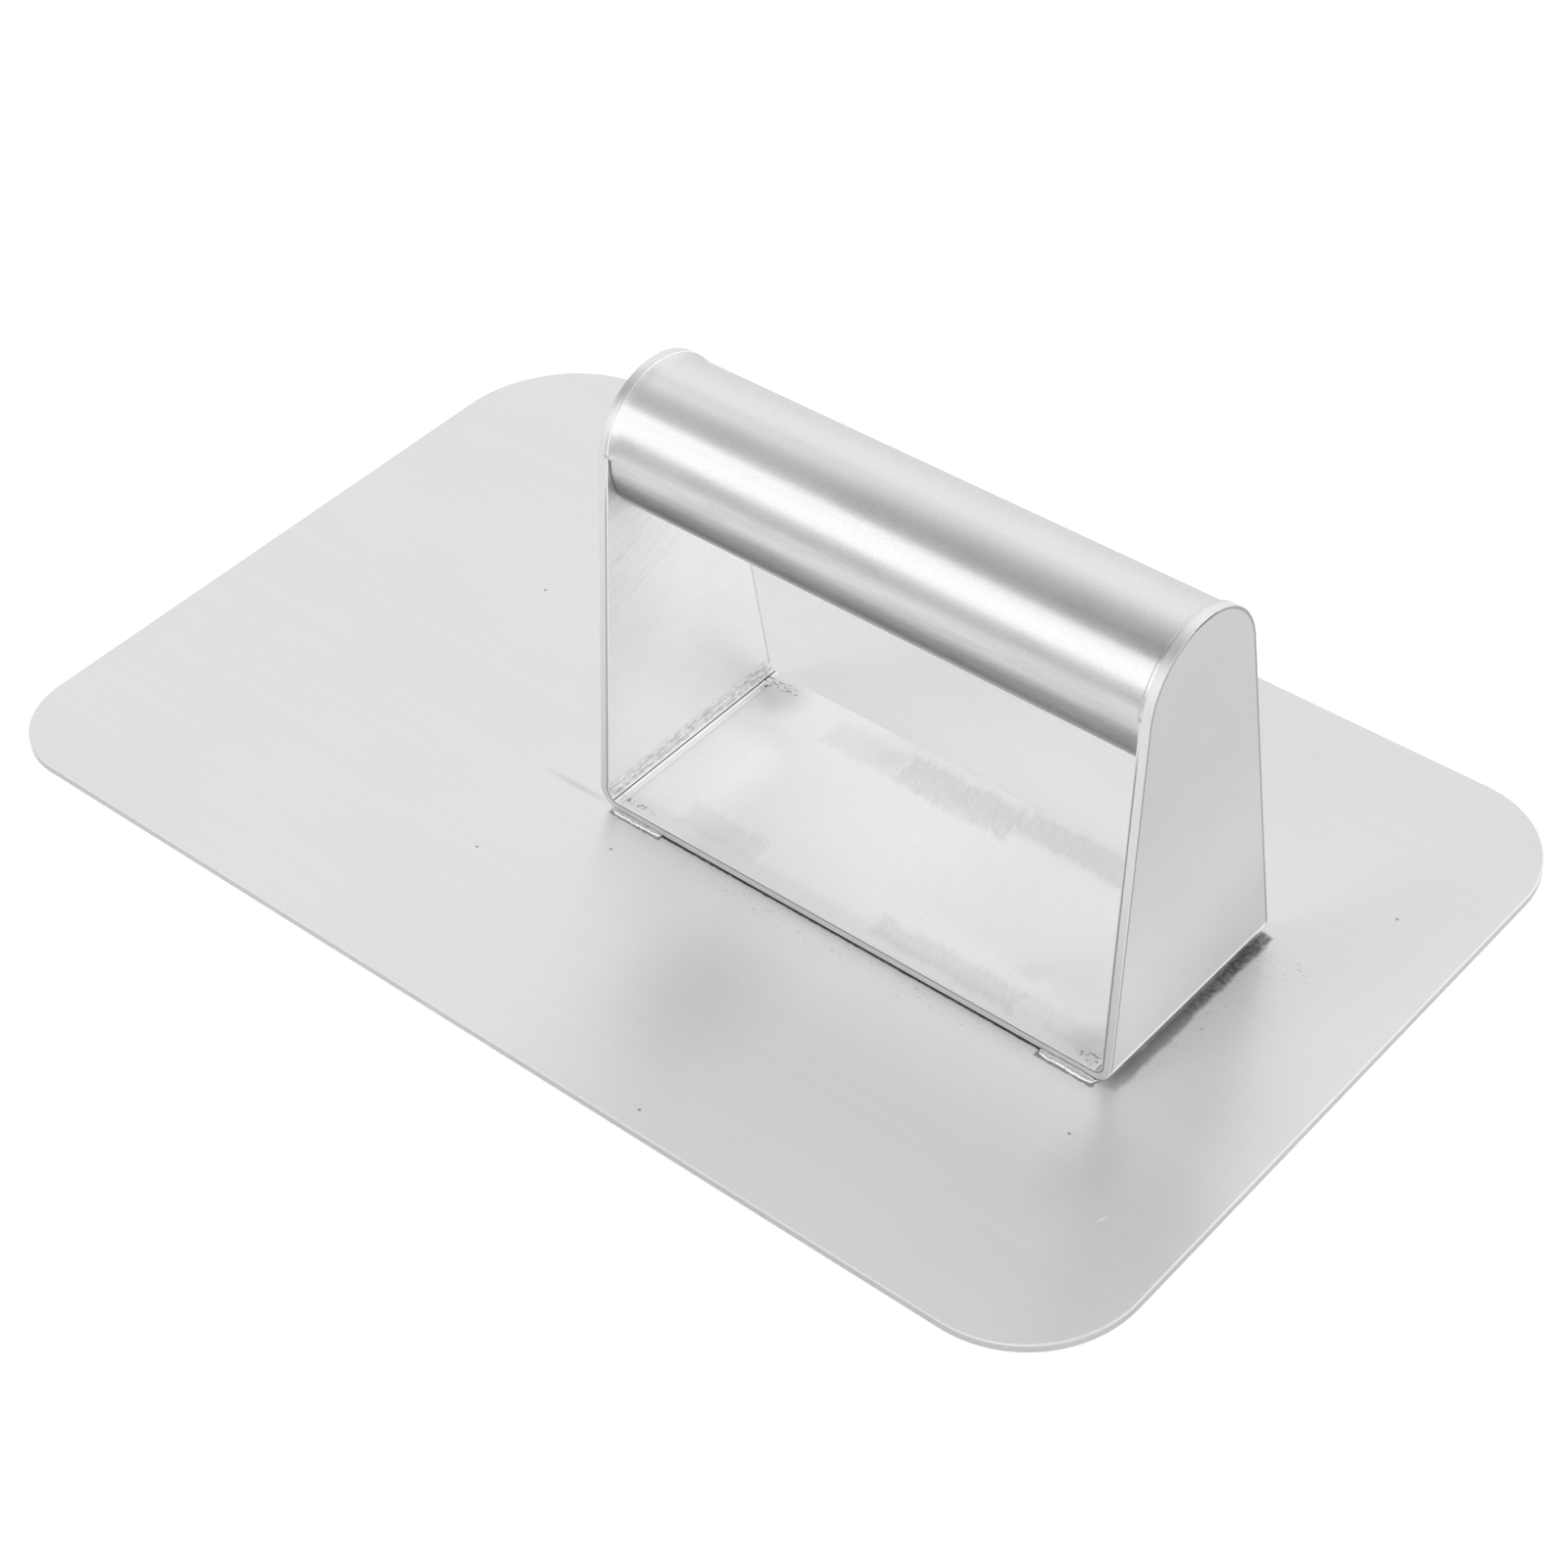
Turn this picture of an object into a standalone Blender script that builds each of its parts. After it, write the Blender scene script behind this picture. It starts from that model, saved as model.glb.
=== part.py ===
"""Bacon press: a flat brushed-steel plate, a folded U-bracket and a tubular grip, all welded.

Metres, +Z up. The origin is the middle of the plate's underside, +X runs along the plate,
and the bracket stands right of the middle, so the plate is longer on the grip's left.
"""
import math

import bmesh
import bpy

MM = 0.001
GAP = 0.3 * MM                      # clearance that separate pieces keep to each other

# Plate
PLATE_LENGTH = 254 * MM             # along X
PLATE_DEPTH = 158 * MM              # along Y
PLATE_THICKNESS = 2 * MM
PLATE_CORNER_RADIUS = 22 * MM

# U-bracket, one strip of sheet folded up at both ends
SHEET = 2 * MM
BRACKET_LENGTH = 116 * MM           # outside to outside of the two ears
BRACKET_DEPTH = 45.6 * MM           # along Y, at the base
BRACKET_OFFSET = 38.4 * MM          # the bracket's middle, right of the plate's middle
BEND_RADIUS = SHEET                 # inside radius of both folds
FOLD_OUTER_RADIUS = BEND_RADIUS + SHEET

# Grip
TUBE_RADIUS = 14 * MM
TUBE_WALL = 1.5 * MM
TUBE_AXIS_HEIGHT = 74.5 * MM        # above the surface that the plate lies on
EAR_RADIUS = TUBE_RADIUS + 0.5 * MM

# Welds
SEAM_WIDTH = 1 * MM                 # filler between the grip's end and the ear
SEAM_END_ANGLE = math.radians(8)    # the seam stops this far above the grip's middle height
BEAD_LENGTH = 12 * MM               # fillet beads that hold the bracket to the plate
BEAD_WIDTH = 1.6 * MM
BEAD_HEIGHT = 1.3 * MM
BEAD_INSET = 2.8 * MM               # from the ear's outer face to the bead's start

EDGE_ROUNDING = 0.25 * MM           # sheet edges are deburred, not sharp

# Finish: colour, roughness, metallic
FINISHES = {
    "plate_steel": ((0.80, 0.80, 0.80), 0.30, 1.0),
    "bracket_steel": ((0.78, 0.78, 0.78), 0.32, 1.0),
    "tube_steel": ((0.76, 0.76, 0.76), 0.28, 1.0),
    "weld_steel": ((0.66, 0.66, 0.65), 0.40, 1.0),
}

BASE_BOTTOM = PLATE_THICKNESS + GAP   # underside of the bracket's base


def steel(name):
    """The named finish, made once and shared by the pieces that have it."""
    if name in bpy.data.materials:
        return bpy.data.materials[name]
    colour, roughness, metallic = FINISHES[name]
    material = bpy.data.materials.new(name)
    material.use_nodes = True
    shader = material.node_tree.nodes["Principled BSDF"]
    shader.inputs["Base Color"].default_value = (*colour, 1)
    shader.inputs["Roughness"].default_value = roughness
    shader.inputs["Metallic"].default_value = metallic
    return material


def add_piece(name, bm, finish, place=(0, 0, 0), parent=None):
    """Turns a bmesh into a named piece of the press."""
    bmesh.ops.recalc_face_normals(bm, faces=bm.faces)
    mesh = bpy.data.meshes.new(name)
    bm.to_mesh(mesh)
    bm.free()
    mesh.shade_smooth()
    mesh.set_sharp_from_angle(angle=math.radians(30))
    piece = bpy.data.objects.new(name, mesh)
    piece.location = place
    piece.parent = parent
    mesh.materials.append(steel(finish))
    bpy.context.scene.collection.objects.link(piece)
    return piece


def round_edges(piece):
    """Deburrs the sheet's cut edges; the folds are too shallow to count as edges."""
    rounding = piece.modifiers.new("deburr", "BEVEL")
    rounding.width = EDGE_ROUNDING
    rounding.segments = 2
    rounding.limit_method = "ANGLE"
    rounding.angle_limit = math.radians(40)


def arc(centre, radius, start, end, steps):
    """Points on an arc, both ends included; angles in degrees."""
    points = []
    for step in range(steps + 1):
        angle = math.radians(start + (end - start) * step / steps)
        points.append((centre[0] + radius * math.cos(angle), centre[1] + radius * math.sin(angle)))
    return points


def loft(sections, closed_path=False):
    """A solid skinned over sections that are closed rings with the same number of points."""
    bm = bmesh.new()
    rings = []
    for section in sections:
        rings.append([bm.verts.new(point) for point in section])
    size = len(rings[0])
    pairs = list(zip(rings, rings[1:]))
    if closed_path:
        pairs.append((rings[-1], rings[0]))
    for ring, following in pairs:
        for i in range(size):
            j = (i + 1) % size
            bm.faces.new((ring[i], ring[j], following[j], following[i]))
    if not closed_path:
        bm.faces.new(rings[0])
        bm.faces.new(rings[-1])
    return bm


def add_plate():
    """Flat plate with four rounded corners."""
    x = PLATE_LENGTH / 2 - PLATE_CORNER_RADIUS
    y = PLATE_DEPTH / 2 - PLATE_CORNER_RADIUS
    outline = []
    for turn, corner in enumerate(((x, y), (-x, y), (-x, -y), (x, -y))):
        outline += arc(corner, PLATE_CORNER_RADIUS, turn * 90, turn * 90 + 90, 14)
    sections = []
    for height in (0, PLATE_THICKNESS):
        sections.append([(px, py, height) for px, py in outline])
    plate = add_piece("press_plate", loft(sections), "plate_steel")
    round_edges(plate)


def ear_half_width(height):
    """Half the ear's depth at a height above the base's underside."""
    axis = TUBE_AXIS_HEIGHT - BASE_BOTTOM
    rise = axis - FOLD_OUTER_RADIUS
    # The straight edge leaves the fold at the base's full depth, as a tangent to the round top.
    slant = math.hypot(rise, BRACKET_DEPTH / 2)
    lean = math.atan2(BRACKET_DEPTH / 2, rise) - math.asin(EAR_RADIUS / slant)
    touch = axis + EAR_RADIUS * math.sin(lean)
    if height < touch:
        return BRACKET_DEPTH / 2 - (height - FOLD_OUTER_RADIUS) * math.tan(lean)
    return math.sqrt(EAR_RADIUS ** 2 - (height - axis) ** 2)


def bracket_stations():
    """Stations along the sheet from the fold to the ear's top: inner point, outer point, half depth."""
    centre = BRACKET_LENGTH / 2 - FOLD_OUTER_RADIUS
    inner_fold = arc((centre, FOLD_OUTER_RADIUS), BEND_RADIUS, -90, 0, 8)
    outer_fold = arc((centre, FOLD_OUTER_RADIUS), FOLD_OUTER_RADIUS, -90, 0, 8)
    stations = [(inner, outer, BRACKET_DEPTH / 2) for inner, outer in zip(inner_fold, outer_fold)]
    for angle in range(6, 90, 6):
        height = TUBE_AXIS_HEIGHT - BASE_BOTTOM + EAR_RADIUS * math.sin(math.radians(angle))
        inner = (BRACKET_LENGTH / 2 - SHEET, height)
        outer = (BRACKET_LENGTH / 2, height)
        stations.append((inner, outer, ear_half_width(height)))
    return stations


def add_bracket():
    """One strip of sheet: flat base, two folds and two ears that narrow to a round top."""
    right_half = []
    for inner, outer, width in bracket_stations():
        right_half.append([
            (inner[0], -width, inner[1]),
            (outer[0], -width, outer[1]),
            (outer[0], width, outer[1]),
            (inner[0], width, inner[1]),
        ])
    left_half = [[(-x, y, z) for x, y, z in section] for section in reversed(right_half)]
    place = (BRACKET_OFFSET, 0, BASE_BOTTOM)
    bracket = add_piece("handle_bracket", loft(left_half + right_half), "bracket_steel", place)
    round_edges(bracket)


def seam_angles(inset):
    """Angles over the grip's upper side that the seam weld covers, ends moved in by inset."""
    start = SEAM_END_ANGLE + inset
    end = math.pi - SEAM_END_ANGLE - inset
    steps = 34
    return [start + (end - start) * step / steps for step in range(steps + 1)]


def add_tube(grip):
    """Open pipe between the ears, set back over its upper side where the seam weld goes."""
    full = BRACKET_LENGTH / 2 - SHEET - GAP
    set_back = full - SEAM_WIDTH - GAP
    ring = [(angle, set_back) for angle in seam_angles(0)]
    step_angle = math.radians(1.5)
    start = math.pi - SEAM_END_ANGLE + step_angle
    end = 2 * math.pi + SEAM_END_ANGLE - step_angle
    steps = 38
    ring += [(start + (end - start) * step / steps, full) for step in range(steps + 1)]

    outer = TUBE_RADIUS
    inner = TUBE_RADIUS - TUBE_WALL
    sections = []
    for angle, end_x in ring:
        c = math.cos(angle)
        s = math.sin(angle)
        sections.append([
            (-end_x, outer * c, outer * s),
            (end_x, outer * c, outer * s),
            (end_x, inner * c, inner * s),
            (-end_x, inner * c, inner * s),
        ])
    add_piece("handle_tube", loft(sections, closed_path=True), "tube_steel", parent=grip)


def add_tube_weld(side_name, side, grip):
    """Filler in the seam between the grip's end and an ear, ground flush."""
    ear_side = BRACKET_LENGTH / 2 - SHEET - GAP
    tube_side = ear_side - SEAM_WIDTH
    root = TUBE_RADIUS - TUBE_WALL
    sections = []
    for angle in seam_angles(GAP / TUBE_RADIUS):
        c = math.cos(angle)
        s = math.sin(angle)
        profile = (
            (ear_side, root),
            (ear_side, EAR_RADIUS),
            ((ear_side + tube_side) / 2, TUBE_RADIUS + 0.15 * MM),
            (tube_side, TUBE_RADIUS),
            (tube_side, root),
        )
        sections.append([(side * x, radius * c, radius * s) for x, radius in profile])
    add_piece(side_name + "_tube_weld", loft(sections), "weld_steel", parent=grip)


def add_plate_weld(name, side_x, side_y):
    """Short fillet bead in the corner of the plate and the base's long edge."""
    steps = 12
    sections = []
    for step in range(steps + 1):
        along = step / steps
        # Round ends: the bead grows quickly to its full size and ends as quickly.
        swell = math.sqrt(max(1 - (2 * along - 1) ** 8, 0.08))
        x = side_x * (BRACKET_LENGTH / 2 - BEAD_INSET - BEAD_LENGTH * along)
        profile = [(0, 0)]
        for across, up in arc((0, 0), 1, 0, 90, 5):
            profile.append((BEAD_WIDTH * swell * across, BEAD_HEIGHT * swell * up))
        sections.append([(x, side_y * across, up) for across, up in profile])
    place = (BRACKET_OFFSET, side_y * (BRACKET_DEPTH / 2 + GAP), BASE_BOTTOM)
    add_piece(name, loft(sections), "weld_steel", place)


def build_press():
    for leftover in list(bpy.data.objects):
        bpy.data.objects.remove(leftover)
    add_plate()
    add_bracket()
    grip = bpy.data.objects.new("grip_axis", None)
    grip.location = (BRACKET_OFFSET, 0, TUBE_AXIS_HEIGHT)
    bpy.context.scene.collection.objects.link(grip)
    add_tube(grip)
    for side_name, side in (("left", -1), ("right", 1)):
        add_tube_weld(side_name, side, grip)
        for end_name, side_y in (("front", -1), ("rear", 1)):
            add_plate_weld(f"{end_name}_{side_name}_weld", side, side_y)


build_press()
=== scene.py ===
import math

import bmesh
import bpy
from mathutils import Matrix, Vector


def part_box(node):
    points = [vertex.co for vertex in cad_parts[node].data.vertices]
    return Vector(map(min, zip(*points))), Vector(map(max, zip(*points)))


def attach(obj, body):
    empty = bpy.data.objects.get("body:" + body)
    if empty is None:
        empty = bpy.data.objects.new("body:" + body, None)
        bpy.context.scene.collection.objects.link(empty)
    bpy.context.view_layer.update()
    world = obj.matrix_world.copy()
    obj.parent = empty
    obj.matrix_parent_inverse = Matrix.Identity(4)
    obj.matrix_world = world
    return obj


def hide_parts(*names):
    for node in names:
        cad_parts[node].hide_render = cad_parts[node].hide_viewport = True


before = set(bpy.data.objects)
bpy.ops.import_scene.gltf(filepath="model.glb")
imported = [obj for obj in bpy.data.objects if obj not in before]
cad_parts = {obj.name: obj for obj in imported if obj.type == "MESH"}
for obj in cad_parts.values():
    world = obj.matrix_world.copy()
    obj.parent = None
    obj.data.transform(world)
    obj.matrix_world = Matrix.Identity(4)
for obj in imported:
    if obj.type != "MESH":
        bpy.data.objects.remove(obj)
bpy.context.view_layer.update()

MM = 0.001

# ---------------------------------------------------------------- sizes read from the frame
plate_low, plate_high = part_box("press_plate")
bracket_low, bracket_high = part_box("handle_bracket")
tube_low, tube_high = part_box("handle_tube")

# Corner radii as the fit of a plain camera gives them: rear right, rear left, front left, front right.
PLATE_CORNERS = (21 * MM, 27 * MM, 16.5 * MM, 22.5 * MM)
SHEET = plate_high.z - plate_low.z
FOLD_INNER = SHEET
FOLD_OUTER = FOLD_INNER + SHEET
TUBE_RADIUS = (tube_high.z - tube_low.z) / 2
EAR_RADIUS = TUBE_RADIUS + 0.5 * MM
AXIS_HEIGHT = (tube_low.z + tube_high.z) / 2
BRACKET_MIDDLE = (bracket_low.x + bracket_high.x) / 2
BRACKET_HALF = (bracket_high.x - bracket_low.x) / 2
BRACKET_DEPTH = bracket_high.y - bracket_low.y
BASE_BOTTOM = bracket_low.z
BASE_TOP = BASE_BOTTOM + SHEET
LEFT_INNER = bracket_low.x + SHEET
RIGHT_INNER = bracket_high.x - SHEET
SEAM_END = math.radians(8)
# The ear's slanting edges run from the top of the fold to where they touch the round top. The
# slope is how much the ear's half depth shrinks per unit of height.
FOLD_TOP = BASE_BOTTOM + FOLD_OUTER
EAR_RISE = AXIS_HEIGHT - FOLD_TOP
EAR_REACH = math.hypot(EAR_RISE, BRACKET_DEPTH / 2)
EAR_LEAN = math.atan2(BRACKET_DEPTH / 2, EAR_RISE) - math.asin(EAR_RADIUS / EAR_REACH)
EAR_SLOPE = math.tan(EAR_LEAN)
TUBE_WALL = 1.5 * MM
DEBURR = 0.3 * MM
# The bead's section for a full one, in mm: distance out from the base's edge, height over the plate.
BEAD_PROFILE = (
    (-0.25, -0.1), (-0.2, 0.30), (0.0, 0.34), (0.1, 0.48), (0.25, 0.60), (0.5, 0.64), (0.8, 0.63),
    (1.1, 0.58), (1.3, 0.49), (1.45, 0.34), (1.52, 0.16), (1.5, 0.0), (1.45, -0.1),
)

# ---------------------------------------------------------------- finish and light
PLATE_TONE = 0.845
PLATE_ROUGHNESS = 0.38
PLATE_ANISOTROPY = 0.96
BRACKET_TONE = 0.725
BRACKET_ROUGHNESS = 0.42
BRACKET_ANISOTROPY = 0.82
TUBE_TONE = 0.67
TUBE_ROUGHNESS = 0.28
WELD_TONE = 0.80
EDGE_TINT = 0.78                    # under 1 holds back the flare at glancing angles, as a match by tone
# Room brightness by the angle round the X axis: 0 level behind, 90 overhead, 180 level in front.
# It is set to bring the bands on the grip to the photo's brightness.
ROOM_TONES = ((0, 1.13), (54, 1.21), (66, 1.06), (80, 0.76), (100, 0.47), (150, 0.55), (180, 0.80))
# Half the room's strength by how far right a direction points.
RIGHT_BOOST = ((0.0, 0.5), (0.15, 0.52), (0.38, 0.84), (0.52, 0.84), (0.66, 0.52), (1.0, 0.42))
STRIP_ANGLE = math.radians(147.2)
STRIP_DISTANCE = 1.0
STRIP_LENGTH = 3.2
STRIP_WIDTH = 0.74
STRIP_RADIANCE = 0.98
FLOOR_SIZE = 4.0
FLOOR_TONE = 0.85
FLOOR_GLOW = 0.35
# The floor is lit round the press and falls off in front of it, between these two distances.
FLOOR_FRONT = (-0.45, -0.89, 0)
FLOOR_LIT = 0.26
FLOOR_DARK = 0.50
CAMERA_ANGLES = (43.18, 42.36, -3.94)        # azimuth, elevation and roll in degrees
CAMERA_DISTANCE = 640.9 * MM
CAMERA_TARGET = Vector((2.16 * MM, 3.05 * MM, 0))
CAMERA_LENS = 79.25

# ---------------------------------------------------------------- marks, in mm
# Each was picked on the photo and carried to the part through the fitted camera.
# Plate: stray specks, and smears of fine specks round the bracket, as (middle, half size).
SPECKS = ((-10, -31), (37, -75), (97, -35), (-30, -45.5), (-71, 16), (112, 40))
SMEARS = (((103, 18, 2), (9, 6, 4)), ((39, -26, 2), (60, 3.0, 4)), ((98, 0, 2), (5, 26, 4)))
# Bracket: scuffed patches on the base as (middle, half size, tone), heat marks as (middle, half size),
# and the painted highlight and shade lines in the folds as (angle, half width, tone) with the angle 0 at
# the base.
SCUFFS = (
    ((11.5, 16.2), (8.5, 3.3), 0.90), ((33, 16.4), (13, 4.2), 0.84), ((72, 18.4), (25.5, 3.3), 0.86),
    ((5, -16.8), (9, 3.0), 0.90), ((58, -18.4), (16, 2.6), 0.86), ((82, -17.8), (8, 2.4), 0.93),
    ((70.5, -10.8), (2.4, 2.2), 0.93),
)
HEAT_MARKS = (
    ((-12.5, -21, 4.3), (5.5, 1.0, 2)), ((-11.5, 20.2, 4.3), (4.0, 1.6, 2)),
    ((-15.5, 19.5, 5), (2.6, 3.2, 3)), ((91, -20.8, 4.3), (4.0, 1.6, 2)),
)
FOLD_LIGHT_AND_SHADE_LINES = ((0.30, 0.07, 1.18), (0.47, 0.10, 0.30), (0.64, 0.08, 1.25))


# ---------------------------------------------------------------- mesh helpers
def arc(centre, radius, start, end, steps):
    """Points on an arc, both ends included; angles in degrees."""
    points = []
    for step in range(steps + 1):
        angle = math.radians(start + (end - start) * step / steps)
        points.append((centre[0] + radius * math.cos(angle), centre[1] + radius * math.sin(angle)))
    return points


def loft(sections, closed_path=False, cap=True):
    """A skin over closed rings that all have the same number of points."""
    bm = bmesh.new()
    rings = [[bm.verts.new(point) for point in section] for section in sections]
    size = len(rings[0])
    pairs = list(zip(rings, rings[1:]))
    if closed_path:
        pairs.append((rings[-1], rings[0]))
    for ring, following in pairs:
        for i in range(size):
            j = (i + 1) % size
            bm.faces.new((ring[i], ring[j], following[j], following[i]))
    if cap and not closed_path:
        bm.faces.new(rings[0])
        bm.faces.new(rings[-1])
    bmesh.ops.recalc_face_normals(bm, faces=bm.faces)
    return bm


def add_piece(name, bm, material, stands_for):
    """A finished piece: smooth shaded, riding on the press's one body."""
    mesh = bpy.data.meshes.new(name)
    bm.to_mesh(mesh)
    bm.free()
    mesh.shade_smooth()
    piece = bpy.data.objects.new(name, mesh)
    mesh.materials.append(material)
    bpy.context.scene.collection.objects.link(piece)
    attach(piece, "root")
    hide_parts(stands_for)
    return piece


def round_edges(piece):
    rounding = piece.modifiers.new("deburr", "BEVEL")
    rounding.width = DEBURR
    rounding.segments = 3
    rounding.limit_method = "ANGLE"
    rounding.angle_limit = math.radians(65)
    rounding.harden_normals = True


# ---------------------------------------------------------------- materials
class Nodes:
    """Short calls that add shader nodes to one material. Places are in millimetres."""

    def __init__(self, name):
        self.material = bpy.data.materials.new(name)
        self.material.use_nodes = True
        self.tree = self.material.node_tree
        self.shader = self.tree.nodes["Principled BSDF"]
        place = self.add("ShaderNodeTexCoord").outputs["Object"]
        scale = self.add("ShaderNodeVectorMath", operation="SCALE")
        scale.inputs["Scale"].default_value = 1 / MM
        self.link(place, scale.inputs[0])
        self.place = scale.outputs[0]
        self.x, self.y, self.z = self.split(self.place)

    def add(self, kind, **settings):
        node = self.tree.nodes.new(kind)
        for key, value in settings.items():
            setattr(node, key, value)
        return node

    def link(self, source, target):
        self.tree.links.new(source, target)

    def put(self, socket, value):
        if isinstance(value, bpy.types.NodeSocket):
            self.link(value, socket)
        else:
            socket.default_value = value

    def split(self, vector):
        node = self.add("ShaderNodeSeparateXYZ")
        self.link(vector, node.inputs[0])
        return node.outputs

    def math(self, operation, first, second=0.0, third=0.0, clamp=False):
        node = self.add("ShaderNodeMath", operation=operation, use_clamp=clamp)
        self.put(node.inputs[0], first)
        self.put(node.inputs[1], second)
        self.put(node.inputs[2], third)
        return node.outputs[0]

    def noise(self, size, detail=4.0, rough=0.6, shift=0.0, turn=(0, 0, 0)):
        """Noise whose features measure this many millimetres along X, Y and Z."""
        mapping = self.add("ShaderNodeMapping", vector_type="TEXTURE")
        self.link(self.place, mapping.inputs["Vector"])
        mapping.inputs["Scale"].default_value = size
        mapping.inputs["Location"].default_value = (shift, shift * 0.7, shift * 1.3)
        mapping.inputs["Rotation"].default_value = turn
        noise = self.add("ShaderNodeTexNoise")
        self.link(mapping.outputs[0], noise.inputs["Vector"])
        noise.inputs["Scale"].default_value = 1.0
        noise.inputs["Detail"].default_value = detail
        noise.inputs["Roughness"].default_value = rough
        return noise.outputs["Fac"]

    def remap(self, value, low, high, to_low=0.0, to_high=1.0):
        node = self.add("ShaderNodeMapRange")
        node.interpolation_type = "SMOOTHSTEP"
        self.put(node.inputs["Value"], value)
        node.inputs["From Min"].default_value = low
        node.inputs["From Max"].default_value = high
        node.inputs["To Min"].default_value = to_low
        node.inputs["To Max"].default_value = to_high
        return node.outputs["Result"]

    def grey(self, value):
        node = self.add("ShaderNodeCombineColor")
        for i in range(3):
            self.put(node.inputs[i], value)
        return node.outputs[0]

    def product(self, *factors):
        total = factors[0]
        for factor in factors[1:]:
            total = self.math("MULTIPLY", total, factor)
        return total

    def box(self, u, v, middle, half, soft, ragged=0.0):
        """1 inside a rectangle on two coordinates, 0 outside; soft and ragged widen its edge."""
        reach = []
        for value, centre, size in zip((u, v), middle, half):
            away = self.math("ABSOLUTE", self.math("SUBTRACT", value, centre))
            reach.append(self.math("SUBTRACT", away, size))
        edge = self.math("MAXIMUM", *reach)
        return self.remap(self.math("ADD", edge, ragged), soft, -soft)

    def spot(self, middle, half, edge=0.6, ragged=0.0, turn=0.0):
        """1 in the middle of an ellipsoid, fading to 0 at its surface from a share of its size."""
        mapping = self.add("ShaderNodeMapping", vector_type="TEXTURE")
        self.link(self.place, mapping.inputs["Vector"])
        mapping.inputs["Location"].default_value = middle
        mapping.inputs["Rotation"].default_value = (0, 0, turn)
        mapping.inputs["Scale"].default_value = half
        length = self.add("ShaderNodeVectorMath", operation="LENGTH")
        self.link(mapping.outputs[0], length.inputs[0])
        return self.remap(self.math("ADD", length.outputs["Value"], ragged), 1.0, edge)

    def line(self, value, place, outer, inner):
        """1 within inner of a place on a coordinate, fading to 0 at outer."""
        away = self.math("ABSOLUTE", self.math("SUBTRACT", value, place))
        return self.remap(away, outer, inner)

    def blend(self, value, amplitude, field, low=0.3, high=0.7):
        """The value plus or minus up to the amplitude, following a noise field."""
        return self.math("MULTIPLY_ADD", self.remap(field, low, high, -1, 1), amplitude, value)

    def shade(self, value, mask, factor):
        """The value multiplied by the factor where the mask is 1."""
        return self.math("MULTIPLY", value, self.math("MULTIPLY_ADD", mask, factor - 1.0, 1.0))

    def finish(self, value, rough, height, relief, anisotropy=0.0, spread=None):
        """Wires the sockets up. relief is the bump's height in mm; spread points across the brushing."""
        self.put(self.shader.inputs["Base Color"], self.grey(value))
        self.shader.inputs["Metallic"].default_value = 1.0
        self.shader.inputs["Specular Tint"].default_value = (EDGE_TINT, EDGE_TINT, EDGE_TINT, 1)
        self.put(self.shader.inputs["Roughness"], rough)
        self.shader.inputs["Anisotropic"].default_value = anisotropy
        if spread:
            across = self.add("ShaderNodeCombineXYZ")
            for i in range(3):
                across.inputs[i].default_value = spread[i]
            self.link(across.outputs[0], self.shader.inputs["Tangent"])
        bump = self.add("ShaderNodeBump")
        bump.inputs["Strength"].default_value = 1.0
        bump.inputs["Distance"].default_value = relief * MM
        self.link(height, bump.inputs["Height"])
        self.link(bump.outputs[0], self.shader.inputs["Normal"])
        return self.material


def rounded_edge_faces(n, base_is_low):
    """1 on the small faces of deburred edges, found by their slanting normals."""
    normal = n.split(n.add("ShaderNodeNewGeometry").outputs["Normal"])
    tilts = []
    for part in normal:
        size = n.math("ABSOLUTE", part)
        tilts.append(n.product(n.remap(size, 0.12, 0.3), n.remap(size, 0.99, 0.93)))
    across_ear = tilts[0]
    across_base = tilts[1]
    return n.math("ADD", n.product(across_ear, n.math("SUBTRACT", 1.0, base_is_low)),
                  n.product(across_base, base_is_low), clamp=True)


def foot_dirt_and_shade(n, value):
    """Painted shadow, with some dirt, in the corner all round the bracket's foot; each bead has a painted
    dark toe.
    """
    from_middle = n.math("ABSOLUTE", n.math("SUBTRACT", n.x, BRACKET_MIDDLE / MM))
    from_axis = n.math("ABSOLUTE", n.y)
    grit = n.noise((0.9, 0.5, 0.9), detail=4.0, shift=11)
    ragged = n.remap(grit, 0.3, 0.7, -0.3, 0.3)
    fraying = n.product(ragged, 0.35)
    wander = n.remap(n.noise((3.5, 5.0, 3.5), detail=3.0, shift=27), 0.3, 0.7, -0.25, 0.25)
    foot = BRACKET_HALF / MM
    depth = BRACKET_DEPTH / 2 / MM

    # Under the right fold a band of painted shadow, darker and grittier toward the rear.
    ends = n.box(n.x, from_axis, (BRACKET_MIDDLE / MM + foot, 0), (1.25, depth + 0.1), 0.6,
                 n.math("MULTIPLY_ADD", ragged, 0.2, wander))
    ends = n.product(ends, n.remap(n.y, -24, -15, 0.55, 1.0))
    value = n.shade(value, ends, 0.55)
    value = n.shade(value, n.product(ends, n.remap(n.y, -20, 20)), 0.72)
    gritty = n.product(n.remap(grit, 0.47, 0.53), n.remap(n.y, -12, 10))
    value = n.shade(value, n.product(ends, gritty), 0.55)

    # Painted shadow under and along the base's long edges.
    sides = n.box(from_middle, from_axis, (0, depth - 1), (foot - 5, 1.24), 0.14, fraying)
    value = n.shade(value, sides, 0.20)
    # The front left bead is narrower than the others, so its toe lies further in.
    front_left = n.product(n.remap(n.x, 40, 30), n.remap(n.y, 0, -1))
    from_bead = n.math("MULTIPLY_ADD", front_left, 0.5, from_axis)
    # Painted shadow along each bead's toe.
    toes = n.box(from_middle, from_bead, (49.2, 23.6), (6.15, 0.98), 0.06, fraying)
    return n.shade(value, toes, 0.45)


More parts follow.
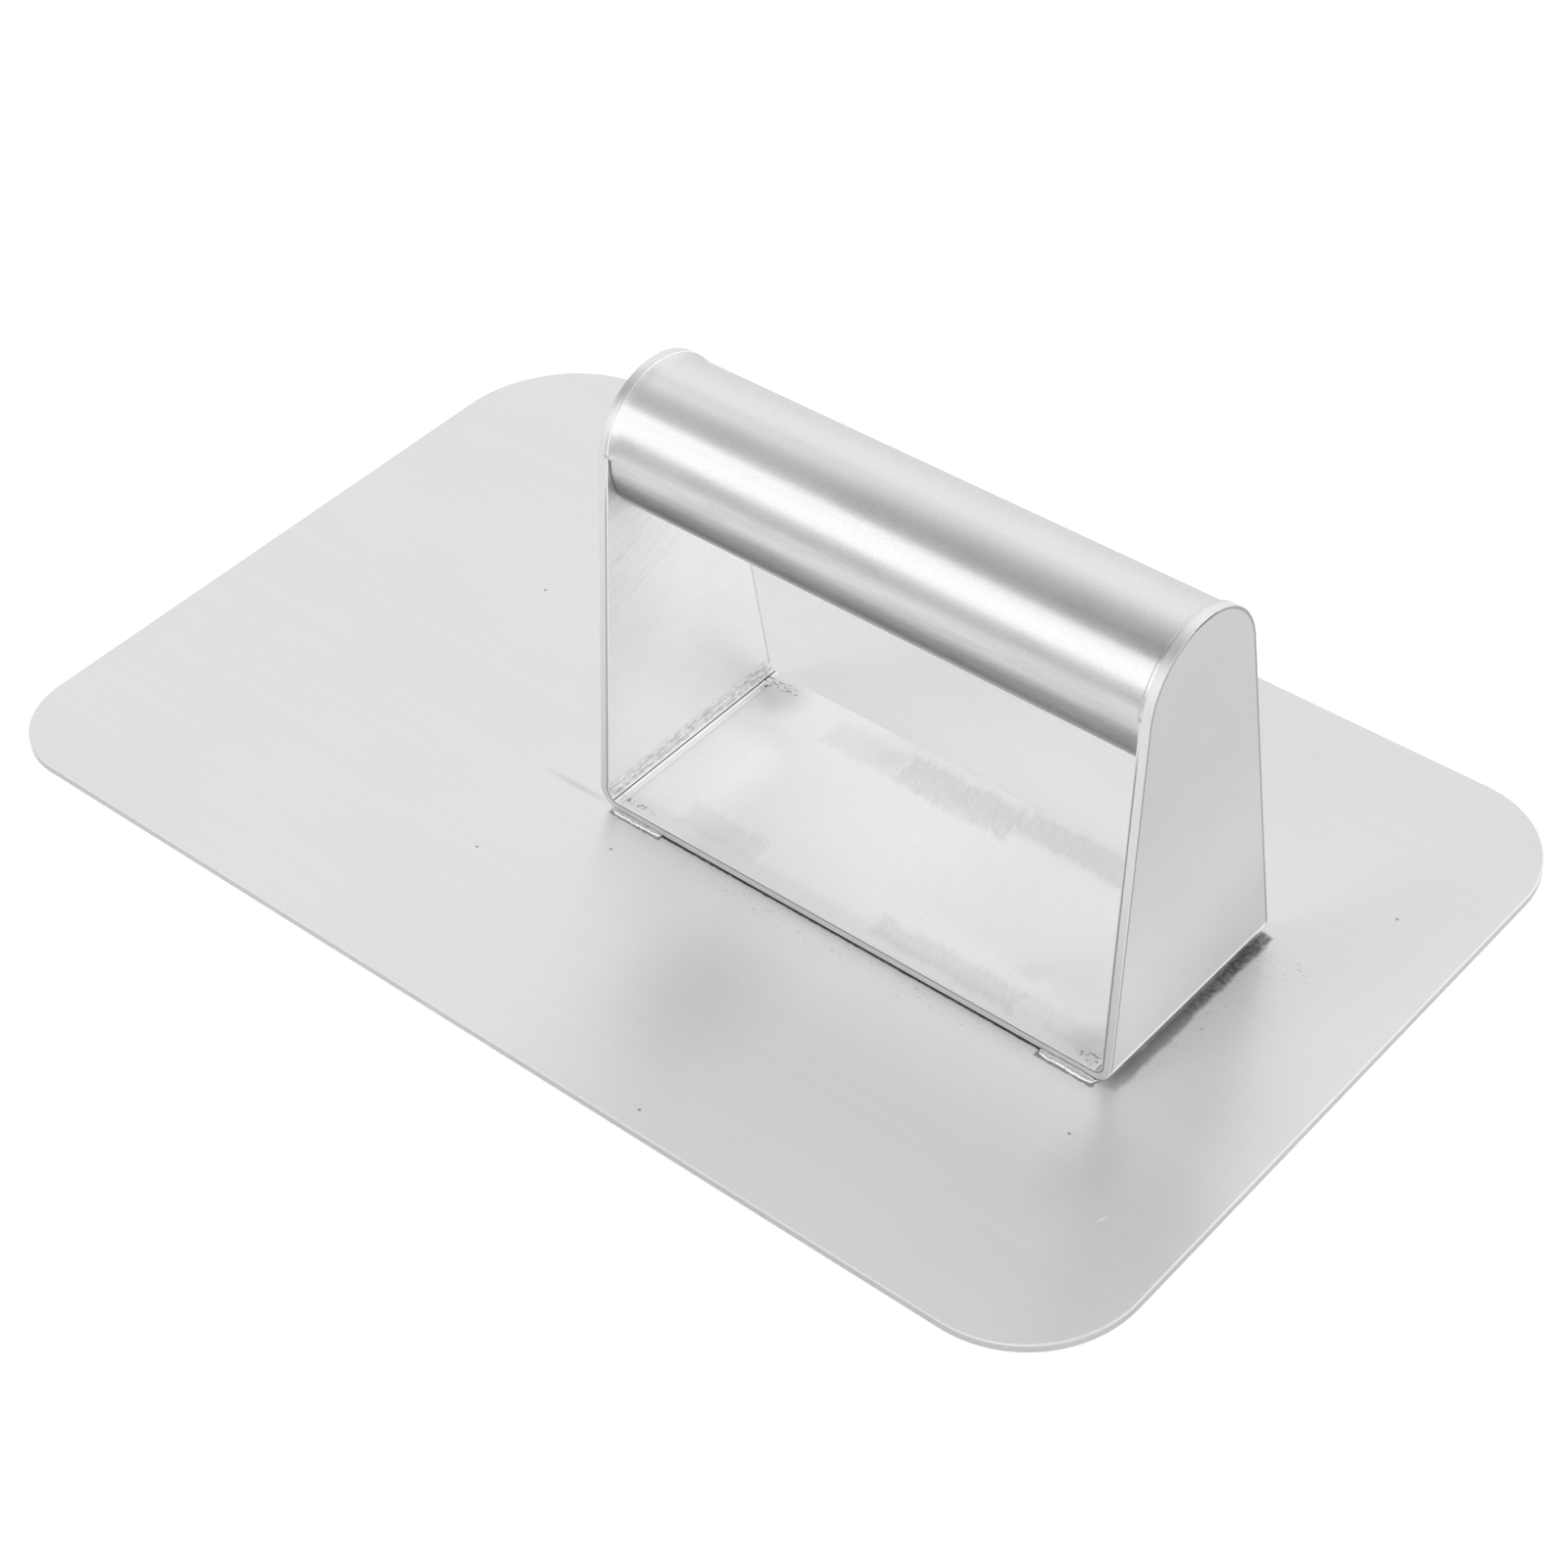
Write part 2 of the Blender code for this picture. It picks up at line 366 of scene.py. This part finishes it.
def plate_marks(n, value, fine):
    """Smears of fine specks round the bracket, a darker streak left of the bracket's front, stray specks
    and a scratch.
    """
    pits = n.remap(n.noise((1.0, 0.6, 1.0), detail=2.0, shift=21), 0.64, 0.70)
    for middle, half in SMEARS:
        value = n.shade(value, n.product(pits, n.spot(middle, half, 0.3)), 0.72)
    streak = n.spot((-26, -22.2, 2), (11, 1.1, 4), 0.1)
    value = n.shade(value, n.product(streak, n.remap(fine, 0.3, 0.6)), 0.80)
    for x, y in SPECKS:
        value = n.shade(value, n.spot((x, y, 2), (0.42, 0.36, 4), 0.5), 0.45)
    scratch = n.spot((112.3, -46.4, 2), (1.6, 0.22, 4), 0.5, turn=1.2)
    return n.shade(value, scratch, 1.25)


def plate_material():
    """Sheet brushed along X: dirt, marks, painted shade and painted reflection on top; clean underneath.
    """
    n = Nodes("plate_steel")
    fine = n.noise((90, 0.55, 0.55), detail=3.0, rough=0.7)
    coarse = n.noise((220, 2.2, 2.2), detail=2.0, shift=40)
    clouds = n.noise((60, 35, 60), detail=3.0, shift=7)
    clean = n.blend(PLATE_TONE, 0.011, fine, 0.25, 0.75)
    clean = n.blend(clean, 0.003, coarse)
    clean = n.blend(clean, 0.008, clouds)
    rough = n.blend(PLATE_ROUGHNESS, 0.003, coarse)

    # Darker areas in front of the bracket: probably the handle's blurred reflection, painted in.
    painted_reflection = n.product(n.remap(n.x, -8, 40), n.remap(n.y, -24, -46))
    value = n.shade(clean, painted_reflection, 0.92)
    value = n.shade(value, n.spot((26, -50, 2), (21, 30, 4), 0.0), 0.92)
    value = n.shade(value, n.spot((103, -40, 2), (10, 17, 4), 0.0), 0.92)
    value = foot_dirt_and_shade(n, value)
    value = plate_marks(n, value, fine)

    # The marks stop at the bottom edge, the cut sides are darker, and the top's rounded edge gets a
    # little painted shade.
    above_bottom = n.remap(n.z, 0.02, 0.2)
    value = n.math("MULTIPLY_ADD", n.math("SUBTRACT", value, clean), above_bottom, clean)
    value = n.shade(value, n.product(n.remap(n.z, 1.72, 1.60), above_bottom), 0.72)
    normal = n.split(n.add("ShaderNodeNewGeometry").outputs["Normal"])
    slanting = n.remap(n.math("ABSOLUTE", normal[2]), 0.98, 0.90)
    value = n.shade(value, n.product(slanting, n.remap(n.z, 1.66, 1.74)), 0.96)
    return n.finish(value, rough, fine, 0.004, PLATE_ANISOTROPY, (0, 1, 0))


class BracketPlaces:
    """Coordinates and masks on the bent strip, for the bracket's material."""

    def __init__(self, n):
        from_middle = n.math("ABSOLUTE", n.math("SUBTRACT", n.x, BRACKET_MIDDLE / MM))
        # Distance from the fold's centre line, which is also how deep a point lies in the sheet:
        # FOLD_INNER on the strip's inner side and FOLD_OUTER on its outer side, all along it.
        fold_x = n.math("MAXIMUM", n.math("SUBTRACT", from_middle, (BRACKET_HALF - FOLD_OUTER) / MM), 0.0)
        fold_z = n.math("MAXIMUM", n.math("SUBTRACT", FOLD_TOP / MM, n.z), 0.0)
        self.radial = n.math("SQRT", n.math("ADD", n.product(fold_x, fold_x), n.product(fold_z, fold_z)))
        self.turn = n.math("ARCTAN2", fold_x, fold_z)
        self.inner = n.remap(self.radial, 2.16, 2.08)
        self.outer = n.remap(self.radial, 3.84, 3.92)
        self.on_left = n.remap(n.x, 1, -1)
        self.inner_ear = n.product(self.inner, n.remap(n.z, 5.6, 6.8))
        self.on_base = n.product(self.inner, n.remap(n.z, 5.0, 4.6))
        self.to_edge = self.distance_to_edge(n)

    def distance_to_edge(self, n):
        """Distance from the ear's outline, which is a slant up to the round top."""
        above_fold = n.math("SUBTRACT", n.z, FOLD_TOP / MM)
        half_depth = n.math("MULTIPLY_ADD", above_fold, -EAR_SLOPE, BRACKET_DEPTH / 2 / MM)
        to_slant = n.math("SUBTRACT", half_depth, n.math("ABSOLUTE", n.y))
        above_axis = n.math("SUBTRACT", n.z, AXIS_HEIGHT / MM)
        reach = n.math("SQRT", n.math("ADD", n.product(n.y, n.y), n.product(above_axis, above_axis)))
        to_round = n.math("SUBTRACT", EAR_RADIUS / MM, reach)
        on_round = n.remap(above_axis, 1.4, 1.8)
        return n.math("MULTIPLY_ADD", n.math("SUBTRACT", to_round, to_slant), on_round, to_slant)


def side_tones(n, at, value):
    """Tones that bring each face to the photo's brightness; they stand partly for its light."""
    # Painted shade: the outer faces darker, more so higher up.
    value = n.shade(value, at.outer, 0.87)
    value = n.shade(value, n.product(at.outer, n.remap(n.z, 22, 60)), 0.90)
    # Painted light: the outside of the folds lighter, and the outer faces' lower front.
    value = n.shade(value, n.product(at.outer, n.remap(n.z, 6.3, 4.8)), 1.58)
    value = n.shade(value, n.product(at.outer, n.remap(n.y, 10, -18), n.remap(n.z, 40, 10)), 1.10)
    # Painted light on the left ear's inner face.
    return n.shade(value, n.product(at.inner_ear, at.on_left), 1.20)


def base_scuffs(n, at, value):
    """Scuffed patches along the base's two long edges, and broader tones between them."""
    hatch = n.noise((0.5, 3.5, 0.5), detail=3.0, rough=0.7, shift=71, turn=(0, 0, 0.35))
    blotches = n.noise((5, 4, 5), detail=3.0, shift=77)
    ragged = n.math("ADD", n.remap(hatch, 0.3, 0.7, -0.25, 0.25), n.remap(blotches, 0.3, 0.7, -0.6, 0.6))
    strength = n.remap(hatch, 0.3, 0.7, 1.0, 0.45)
    for middle, half, tone in SCUFFS:
        patch = n.box(n.x, n.y, middle, half, 1.0, ragged)
        value = n.shade(value, n.product(patch, at.on_base, strength), tone)
    rear = n.product(n.remap(n.y, 12.0, 17.5), n.remap(n.x, 4, 20))
    left_end = n.product(n.remap(n.x, 6, -4), n.remap(n.y, 10, 2))
    front = n.remap(n.y, -17.5, -20.0)
    right_part = n.product(n.remap(n.x, 30, 62), n.remap(n.x, 88, 76), n.remap(n.y, -14, -8))
    for place, tone in ((rear, 0.93), (left_end, 1.13), (front, 0.94), (right_part, 0.94)):
        value = n.shade(value, n.product(place, at.on_base), tone)
    return value


def heat_marks(n, value):
    """Dark spots in the corners of the base, taken for burns from welding."""
    char = n.noise((0.9, 0.5, 0.9), detail=4.0, shift=31)
    burnt = n.remap(char, 0.52, 0.60)
    for middle, half in HEAT_MARKS:
        value = n.shade(value, n.product(burnt, n.spot(middle, half, 0.4)), 0.32)
    value = n.shade(value, n.spot((-12, 18, 4.3), (9, 8, 3), 0.1), 0.76)
    return n.shade(value, n.spot((90, -18, 4.3), (8, 6, 3), 0.1), 0.86)


def fold_marks(n, at, value, dashes, band):
    """The fold's inside: painted shade with two painted highlight lines and a painted dark crease between
    them, then dashes.
    """
    crease_shade = n.product(n.remap(at.turn, 0.30, 0.55), n.remap(at.turn, 1.30, 0.95))
    value = n.shade(value, n.product(at.inner, crease_shade), 0.74)
    value = n.shade(value, n.product(band, n.remap(dashes, 0.50, 0.42)), 0.78)
    value = n.shade(value, n.product(band, n.remap(dashes, 0.56, 0.62)), 1.12)
    for place, width, tone in FOLD_LIGHT_AND_SHADE_LINES:
        value = n.shade(value, n.product(at.inner, n.line(at.turn, place, width, width * 0.5)), tone)
    return value


def edge_lines(n, at, value):
    """Painted shade: fine dark lines beside the edges of the ears and along the strip's rim, near its
    inner side.
    """
    beside_edge = n.line(at.to_edge, 0.42, 0.30, 0.12)
    value = n.shade(value, n.product(at.inner_ear, beside_edge, n.remap(n.y, 0, 4)), 0.74)
    value = n.shade(value, n.product(at.outer, beside_edge), 0.62)
    rim_line = n.line(at.radial, 2.42, 0.20, 0.10)
    return n.shade(value, n.product(rim_line, n.remap(n.z, 74, 66)), 0.45)


def bracket_material():
    """Strip brushed along Y, with press marks in the folds, scuffs, heat marks and worn edges."""
    n = Nodes("bracket_steel")
    at = BracketPlaces(n)
    fine = n.noise((0.35, 4.5, 0.35), detail=3.0, rough=0.7)
    coarse = n.noise((1.5, 14, 1.5), detail=2.0, shift=15)
    clouds = n.noise((22, 16, 22), detail=3.0, shift=3)
    value = n.blend(BRACKET_TONE, 0.016, fine, 0.25, 0.75)
    value = n.blend(value, 0.003, coarse)
    value = n.blend(value, 0.012, clouds)
    rough = n.blend(BRACKET_ROUGHNESS, 0.02, clouds)

    value = side_tones(n, at, value)
    value = base_scuffs(n, at, value)
    value = heat_marks(n, value)
    dashes = n.noise((0.36, 1.3, 0.36), detail=2.0, rough=0.5, shift=51)
    dashes_end = n.remap(n.math("MULTIPLY_ADD", dashes, 2.0, n.z), 8.6, 7.6)
    band = n.product(at.inner, n.remap(at.turn, 0.62, 0.75), dashes_end)
    value = fold_marks(n, at, value, dashes, band)

    # Long slanting scratches on the inner faces of the ears.
    strokes = n.noise((3, 9, 0.4), detail=2.0, shift=61, turn=(0.28, 0, 0))
    upper = n.remap(n.math("MULTIPLY_ADD", clouds, 30.0, n.z), 45, 75)
    value = n.shade(value, n.product(at.inner_ear, upper, n.remap(strokes, 0.46, 0.36)), 0.91)

    value = edge_lines(n, at, value)
    # The rounded edges get a painted highlight and a smoother finish.
    edge_highlight = rounded_edge_faces(n, n.remap(n.z, 6.2, 4.6))
    value = n.shade(value, edge_highlight, 1.22)
    rough = n.math("MULTIPLY_ADD", edge_highlight, -0.08, rough)
    # A rougher outside keeps the folds from mirroring the dark strip on the plate too sharply.
    rough = n.math("MULTIPLY_ADD", n.product(at.outer, n.remap(n.z, 6.4, 5.2)), 0.25, rough)
    height = n.math("MULTIPLY_ADD", n.product(band, dashes), 6.0, fine)
    return n.finish(value, rough, height, 0.004, BRACKET_ANISOTROPY, (1, 0, 1))


def tube_material():
    """Satin pipe: an even fine grain, and tones along it that follow the photo's light and marks."""
    n = Nodes("tube_steel")
    fine = n.noise((0.40, 0.40, 0.40), detail=3.0, rough=0.7)
    streaks = n.noise((30, 2.2, 2.2), detail=3.0, shift=9)
    clouds = n.noise((14, 14, 14), detail=3.0, shift=4)
    value = n.blend(TUBE_TONE, 0.030, fine, 0.25, 0.75)
    value = n.blend(value, 0.008, clouds)
    rough = n.blend(TUBE_ROUGHNESS, 0.02, clouds)

    # The lower front has painted shade with smudges over it, and the painted shade below it deepens
    # toward the left.
    up = n.math("SUBTRACT", n.z, AXIS_HEIGHT / MM)
    front = n.product(n.remap(n.y, -6, -12), n.remap(up, 7.5, 2.0))
    smudge = n.product(front, n.remap(streaks, 0.62, 0.40))
    value = n.shade(value, front, 0.86)
    value = n.shade(value, smudge, 0.90)
    shaded = n.product(n.remap(up, 0.0, -3.5), n.remap(up, -7.0, -5.6))
    toward_left = n.remap(n.x, 92, -5, 0.3, 1.0)
    value = n.shade(value, n.product(shaded, toward_left), 0.74)
    # A painted reflection lightens the lowest strip, more toward the left.
    value = n.shade(value, n.product(n.remap(up, -6.2, -7.2), toward_left), 1.45)
    # Painted shade along the upper rear.
    value = n.shade(value, n.product(n.remap(n.y, 6.5, 10.0), n.remap(up, 5, 8)), 0.86)
    # The dark band on top is a reflection, which is painted lighter toward the left ear.
    band = n.product(n.remap(n.y, -2.0, -4.5), n.remap(n.y, -10.4, -8.8), n.remap(up, 6, 9))
    value = n.product(value, n.math("MULTIPLY_ADD", band, n.remap(n.x, -20, 92, 0.28, 0.0), 1.0))
    # The band's painted reflection has a core that is darker toward the right.
    core = n.product(n.remap(n.y, -6.2, -7.4), n.remap(n.y, -9.6, -8.4), n.remap(up, 6, 9))
    value = n.shade(value, n.product(core, n.remap(n.x, 30, 92)), 0.88)
    return n.finish(value, rough, fine, 0.014)


def weld_material():
    """Rough filler: bright, with dark pits."""
    n = Nodes("weld_steel")
    fine = n.noise((0.5, 0.35, 0.4), detail=5.0, rough=0.7)
    value = n.blend(WELD_TONE, 0.10, fine)
    value = n.shade(value, n.remap(fine, 0.42, 0.34), 0.55)
    rough = n.remap(fine, 0.3, 0.7, 0.36, 0.22)
    return n.finish(value, rough, fine, 0.05)


# ---------------------------------------------------------------- pieces
def make_plate(material):
    outline = []
    signs = ((1, 1), (-1, 1), (-1, -1), (1, -1))
    for turn, ((side_x, side_y), radius) in enumerate(zip(signs, PLATE_CORNERS)):
        corner = (side_x * (plate_high.x - radius), side_y * (plate_high.y - radius))
        outline += arc(corner, radius, turn * 90, turn * 90 + 90, 32)
    sections = []
    for height in (plate_low.z, plate_high.z):
        sections.append([(px, py, height) for px, py in outline])
    plate = add_piece("plate", loft(sections), material, "press_plate")
    round_edges(plate)
    return plate


def ear_half_width(height):
    """Half the ear's depth: straight edges from the fold, tangent to the round top."""
    if height < AXIS_HEIGHT + EAR_RADIUS * math.sin(EAR_LEAN):
        return BRACKET_DEPTH / 2 - (height - FOLD_TOP) * EAR_SLOPE
    return math.sqrt(max(EAR_RADIUS ** 2 - (height - AXIS_HEIGHT) ** 2, 0))


def bracket_stations():
    """Along the sheet from the base to the ear's top: inner point, outer point, half depth."""
    centre = (BRACKET_HALF - FOLD_OUTER, FOLD_TOP)
    half = BRACKET_DEPTH / 2
    stations = []
    # A pressed groove runs across the base where the fold begins.
    for back, dip in ((1.1, 0), (0.75, 0.02), (0.5, 0.13), (0.25, 0.02)):
        x = centre[0] - back * MM
        stations.append(((x, BASE_TOP - dip * MM), (x, BASE_BOTTOM), half))
    inner_fold = arc(centre, FOLD_INNER, -90, 0, 16)
    outer_fold = arc(centre, FOLD_OUTER, -90, 0, 16)
    stations += [(inner, outer, half) for inner, outer in zip(inner_fold, outer_fold)]
    for angle in list(range(6, 86, 4)) + [88]:
        height = AXIS_HEIGHT + EAR_RADIUS * math.sin(math.radians(angle))
        inner = (BRACKET_HALF - SHEET, height)
        outer = (BRACKET_HALF, height)
        stations.append((inner, outer, ear_half_width(height)))
    return stations


def make_bracket(material):
    right = []
    for inner, outer, width in bracket_stations():
        right.append([
            (inner[0], -width, inner[1]),
            (outer[0], -width, outer[1]),
            (outer[0], width, outer[1]),
            (inner[0], width, inner[1]),
        ])
    left = [[(-x, y, z) for x, y, z in section] for section in reversed(right)]
    sections = [[(x + BRACKET_MIDDLE, y, z) for x, y, z in section] for section in left + right]
    bracket = add_piece("bracket", loft(sections), material, "handle_bracket")
    round_edges(bracket)
    return bracket


def make_tube(material):
    """The grip: an open pipe up to the ears' inner faces."""
    inner = TUBE_RADIUS - TUBE_WALL
    # Rings close to each end keep the long skin's shading straight.
    end = [(0.08, inner), (0.08, TUBE_RADIUS - 0.18 * MM), (0.18, TUBE_RADIUS - 0.04 * MM)]
    end += [(0.32, TUBE_RADIUS), (0.8, TUBE_RADIUS)]
    profile = [(LEFT_INNER + x * MM, r) for x, r in end]
    profile += [(RIGHT_INNER - x * MM, r) for x, r in reversed(end)]
    sections = []
    steps = 160
    for step in range(steps):
        angle = 2 * math.pi * step / steps
        c, s = math.cos(angle), math.sin(angle)
        sections.append([(x, r * c, AXIS_HEIGHT + r * s) for x, r in profile])
    tube = add_piece("grip_tube", loft(sections, closed_path=True), material, "handle_tube")
    tube.data.set_sharp_from_angle(angle=math.radians(60))
    return tube


def make_seam(side_name, side, width, overlap, curve, material):
    """Ground seam weld from the ear's edge down to the grip; curve shapes its fall from 1 to 0."""
    face = RIGHT_INNER if side > 0 else LEFT_INNER
    root = TUBE_RADIUS - 1.2 * MM
    sections = []
    steps = 164
    for step in range(steps + 1):
        angle = SEAM_END + (math.pi - 2 * SEAM_END) * step / steps
        # The seam ends in a small round pip over its last two degrees.
        to_end = min(step, steps - step)
        fade = math.sqrt(min(1, (to_end + 0.15) / 2))
        pip = math.exp(-((to_end - 2.0) / 1.4) ** 2)
        lift = (0.52 + 0.12 * pip) * MM * fade
        reach = width * (1 - 0.35 * pip)
        c, s = math.cos(angle), math.sin(angle)
        points = [(overlap, root), (overlap, TUBE_RADIUS + lift)]
        for k in range(1, 9):
            t = k / 8
            points.append((-reach * t, TUBE_RADIUS + lift * curve(t) + 0.004 * MM))
        points.append((-reach, root))
        sections.append([(face + side * x, r * c, AXIS_HEIGHT + r * s) for x, r in points])
    seam = add_piece(side_name + "_seam", loft(sections), material, side_name + "_tube_weld")
    seam.data.set_sharp_from_angle(angle=math.radians(50))
    return seam


def wobble(place, seed):
    """A smooth irregular curve between about -1 and 1."""
    total = 0
    for order, size in ((1.0, 0.5), (2.3, 0.35), (5.1, 0.25), (9.7, 0.15)):
        total += size * math.sin(place * order * 6.3 + seed * (order + 2.1))
    return total


def make_bead(end_name, side_name, share, seed, material):
    """Flat irregular fillet bead between the base's long edge and the plate.

    share is its width against a full bead's, and seed varies its outline.
    """
    side_y = -1 if end_name == "front" else 1
    node = f"{end_name}_{side_name}_weld"
    low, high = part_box(node)
    length = high.x - low.x
    sections = []
    steps = 90
    for step in range(steps + 1):
        along = step / steps
        round_end = max(1 - abs(2 * along - 1) ** 10, 0.0) ** 0.5
        wide = share * (1 + 0.09 * wobble(along, seed)) * (0.08 + 0.92 * round_end)
        tall = (1 + 0.16 * wobble(along * 1.3, seed + 2)) * (0.1 + 0.9 * round_end)
        x = low.x + length * along
        points = []
        for out, up in BEAD_PROFILE:
            if out > 0:
                out *= wide
            if up > 0:
                up *= tall
            points.append((x, side_y * (BRACKET_DEPTH / 2 + out * MM), plate_high.z + up * MM))
        sections.append(points)
    bead = add_piece(f"{end_name}_{side_name}_bead", loft(sections), material, node)
    bead.data.set_sharp_from_angle(angle=math.radians(60))
    return bead


# ---------------------------------------------------------------- stage, light and camera
def floor_material():
    """Pale and matt with a faint glow, fading far in front of the press."""
    material = bpy.data.materials.new("pale_floor")
    material.use_nodes = True
    tree = material.node_tree
    shader = tree.nodes["Principled BSDF"]
    place = tree.nodes.new("ShaderNodeTexCoord")
    along = tree.nodes.new("ShaderNodeVectorMath")
    along.operation = "DOT_PRODUCT"
    along.inputs[1].default_value = FLOOR_FRONT
    tree.links.new(place.outputs["Object"], along.inputs[0])
    ramp = tree.nodes.new("ShaderNodeMapRange")
    ramp.interpolation_type = "SMOOTHSTEP"
    ramp.inputs["From Min"].default_value = FLOOR_LIT
    ramp.inputs["From Max"].default_value = FLOOR_DARK
    ramp.inputs["To Min"].default_value = 1.0
    ramp.inputs["To Max"].default_value = 0.5
    tree.links.new(along.outputs["Value"], ramp.inputs["Value"])
    tone = tree.nodes.new("ShaderNodeCombineColor")
    for i in range(3):
        tree.links.new(ramp.outputs["Result"], tone.inputs[i])
    shade = tree.nodes.new("ShaderNodeMix")
    shade.data_type = "RGBA"
    shade.blend_type = "MULTIPLY"
    shade.inputs[0].default_value = 1.0
    shade.inputs[6].default_value = (FLOOR_TONE, FLOOR_TONE, FLOOR_TONE, 1)
    tree.links.new(tone.outputs[0], shade.inputs[7])
    tree.links.new(shade.outputs[2], shader.inputs["Base Color"])
    tree.links.new(tone.outputs[0], shader.inputs["Emission Color"])
    shader.inputs["Roughness"].default_value = 0.9
    shader.inputs["Specular IOR Level"].default_value = 0.0
    shader.inputs["Emission Strength"].default_value = FLOOR_GLOW
    return material


def make_floor():
    bm = bmesh.new()
    corners = ((-1, -1), (1, -1), (1, 1), (-1, 1))
    bm.faces.new([bm.verts.new((x * FLOOR_SIZE, y * FLOOR_SIZE, 0)) for x, y in corners])
    mesh = bpy.data.meshes.new("floor")
    bm.to_mesh(mesh)
    bm.free()
    floor = bpy.data.objects.new("floor", mesh)
    mesh.materials.append(floor_material())
    bpy.context.scene.collection.objects.link(floor)


def add_ramp(tree, source, stops):
    """A grey ramp with these (position, tone) stops; gives its colour."""
    ramp = tree.nodes.new("ShaderNodeValToRGB")
    tree.links.new(source, ramp.inputs["Fac"])
    while len(ramp.color_ramp.elements) < len(stops):
        ramp.color_ramp.elements.new(0.5)
    for element, (position, tone) in zip(ramp.color_ramp.elements, stops):
        element.position = position
        element.color = (tone, tone, tone, 1)
    return ramp.outputs["Color"]


def make_world():
    """A white room that is darker overhead: tone depends on the angle round the X axis."""
    world = bpy.data.worlds.new("studio")
    bpy.context.scene.world = world
    world.use_nodes = True
    tree = world.node_tree
    background = tree.nodes["Background"]
    place = tree.nodes.new("ShaderNodeTexCoord")
    split = tree.nodes.new("ShaderNodeSeparateXYZ")
    tree.links.new(place.outputs["Generated"], split.inputs[0])
    angle = tree.nodes.new("ShaderNodeMath")
    angle.operation = "ARCTAN2"
    tree.links.new(split.outputs["Z"], angle.inputs[0])
    tree.links.new(split.outputs["Y"], angle.inputs[1])
    spread = tree.nodes.new("ShaderNodeMapRange")
    spread.inputs["From Min"].default_value = 0
    spread.inputs["From Max"].default_value = math.pi
    tree.links.new(angle.outputs[0], spread.inputs["Value"])
    tones = add_ramp(tree, spread.outputs[0], [(degrees / 180, tone) for degrees, tone in ROOM_TONES])
    # The room is brighter to the press's right, which lights the faces of the ears.
    half_strength = add_ramp(tree, split.outputs["X"], RIGHT_BOOST)
    strength = tree.nodes.new("ShaderNodeMath")
    strength.operation = "MULTIPLY"
    strength.inputs[1].default_value = 2.0
    tree.links.new(half_strength, strength.inputs[0])
    tree.links.new(tones, background.inputs["Color"])
    tree.links.new(strength.outputs[0], background.inputs["Strength"])


def make_softbox():
    """A long strip light parallel to the grip, up in front of it."""
    light = bpy.data.lights.new("front_strip", "AREA")
    light.shape = "RECTANGLE"
    light.size = STRIP_LENGTH
    light.size_y = STRIP_WIDTH
    light.energy = STRIP_RADIANCE * math.pi * STRIP_LENGTH * STRIP_WIDTH
    lamp = bpy.data.objects.new("front_strip", light)
    direction = Vector((0, math.cos(STRIP_ANGLE), math.sin(STRIP_ANGLE)))
    lamp.location = Vector((BRACKET_MIDDLE - 0.5, 0, AXIS_HEIGHT)) + direction * STRIP_DISTANCE
    across = direction.cross(Vector((1, 0, 0)))
    lamp.rotation_mode = "QUATERNION"
    facing = Matrix((Vector((1, 0, 0)), across, direction)).transposed()
    lamp.rotation_quaternion = facing.to_quaternion()
    bpy.context.scene.collection.objects.link(lamp)


def make_camera():
    azimuth, elevation, roll = map(math.radians, CAMERA_ANGLES)
    back = Vector((
        math.sin(azimuth) * math.cos(elevation),
        -math.cos(azimuth) * math.cos(elevation),
        math.sin(elevation),
    ))
    level = Vector((math.cos(azimuth), math.sin(azimuth), 0))
    upright = back.cross(level)
    right = level * math.cos(roll) + upright * math.sin(roll)
    up = upright * math.cos(roll) - level * math.sin(roll)
    data = bpy.data.cameras.new("camera")
    data.sensor_width = 36
    data.lens = CAMERA_LENS
    camera = bpy.data.objects.new("camera", data)
    facing = Matrix((right, up, back)).transposed().to_4x4()
    camera.matrix_world = Matrix.Translation(CAMERA_TARGET + back * CAMERA_DISTANCE) @ facing
    bpy.context.scene.collection.objects.link(camera)
    bpy.context.scene.camera = camera


make_camera()
make_world()
make_floor()
make_softbox()

plate_steel = plate_material()
bracket_steel = bracket_material()
tube_steel = tube_material()
weld_steel = weld_material()

make_plate(plate_steel)
make_bracket(bracket_steel)
make_tube(tube_steel)
# The left seam is broad and hollow, the right one narrow and full.
make_seam("left", -1, 1.9 * MM, 0.7 * MM, lambda t: (1 - t) ** 2, tube_steel)
make_seam("right", 1, 0.6 * MM, 0.3 * MM, lambda t: 1 - t ** 3, tube_steel)
make_bead("front", "left", 0.66, 0, weld_steel)
make_bead("front", "right", 0.92, 1, weld_steel)
make_bead("rear", "left", 1.0, 2, weld_steel)
make_bead("rear", "right", 1.0, 3, weld_steel)

bpy.context.scene.view_settings.view_transform = "Standard"
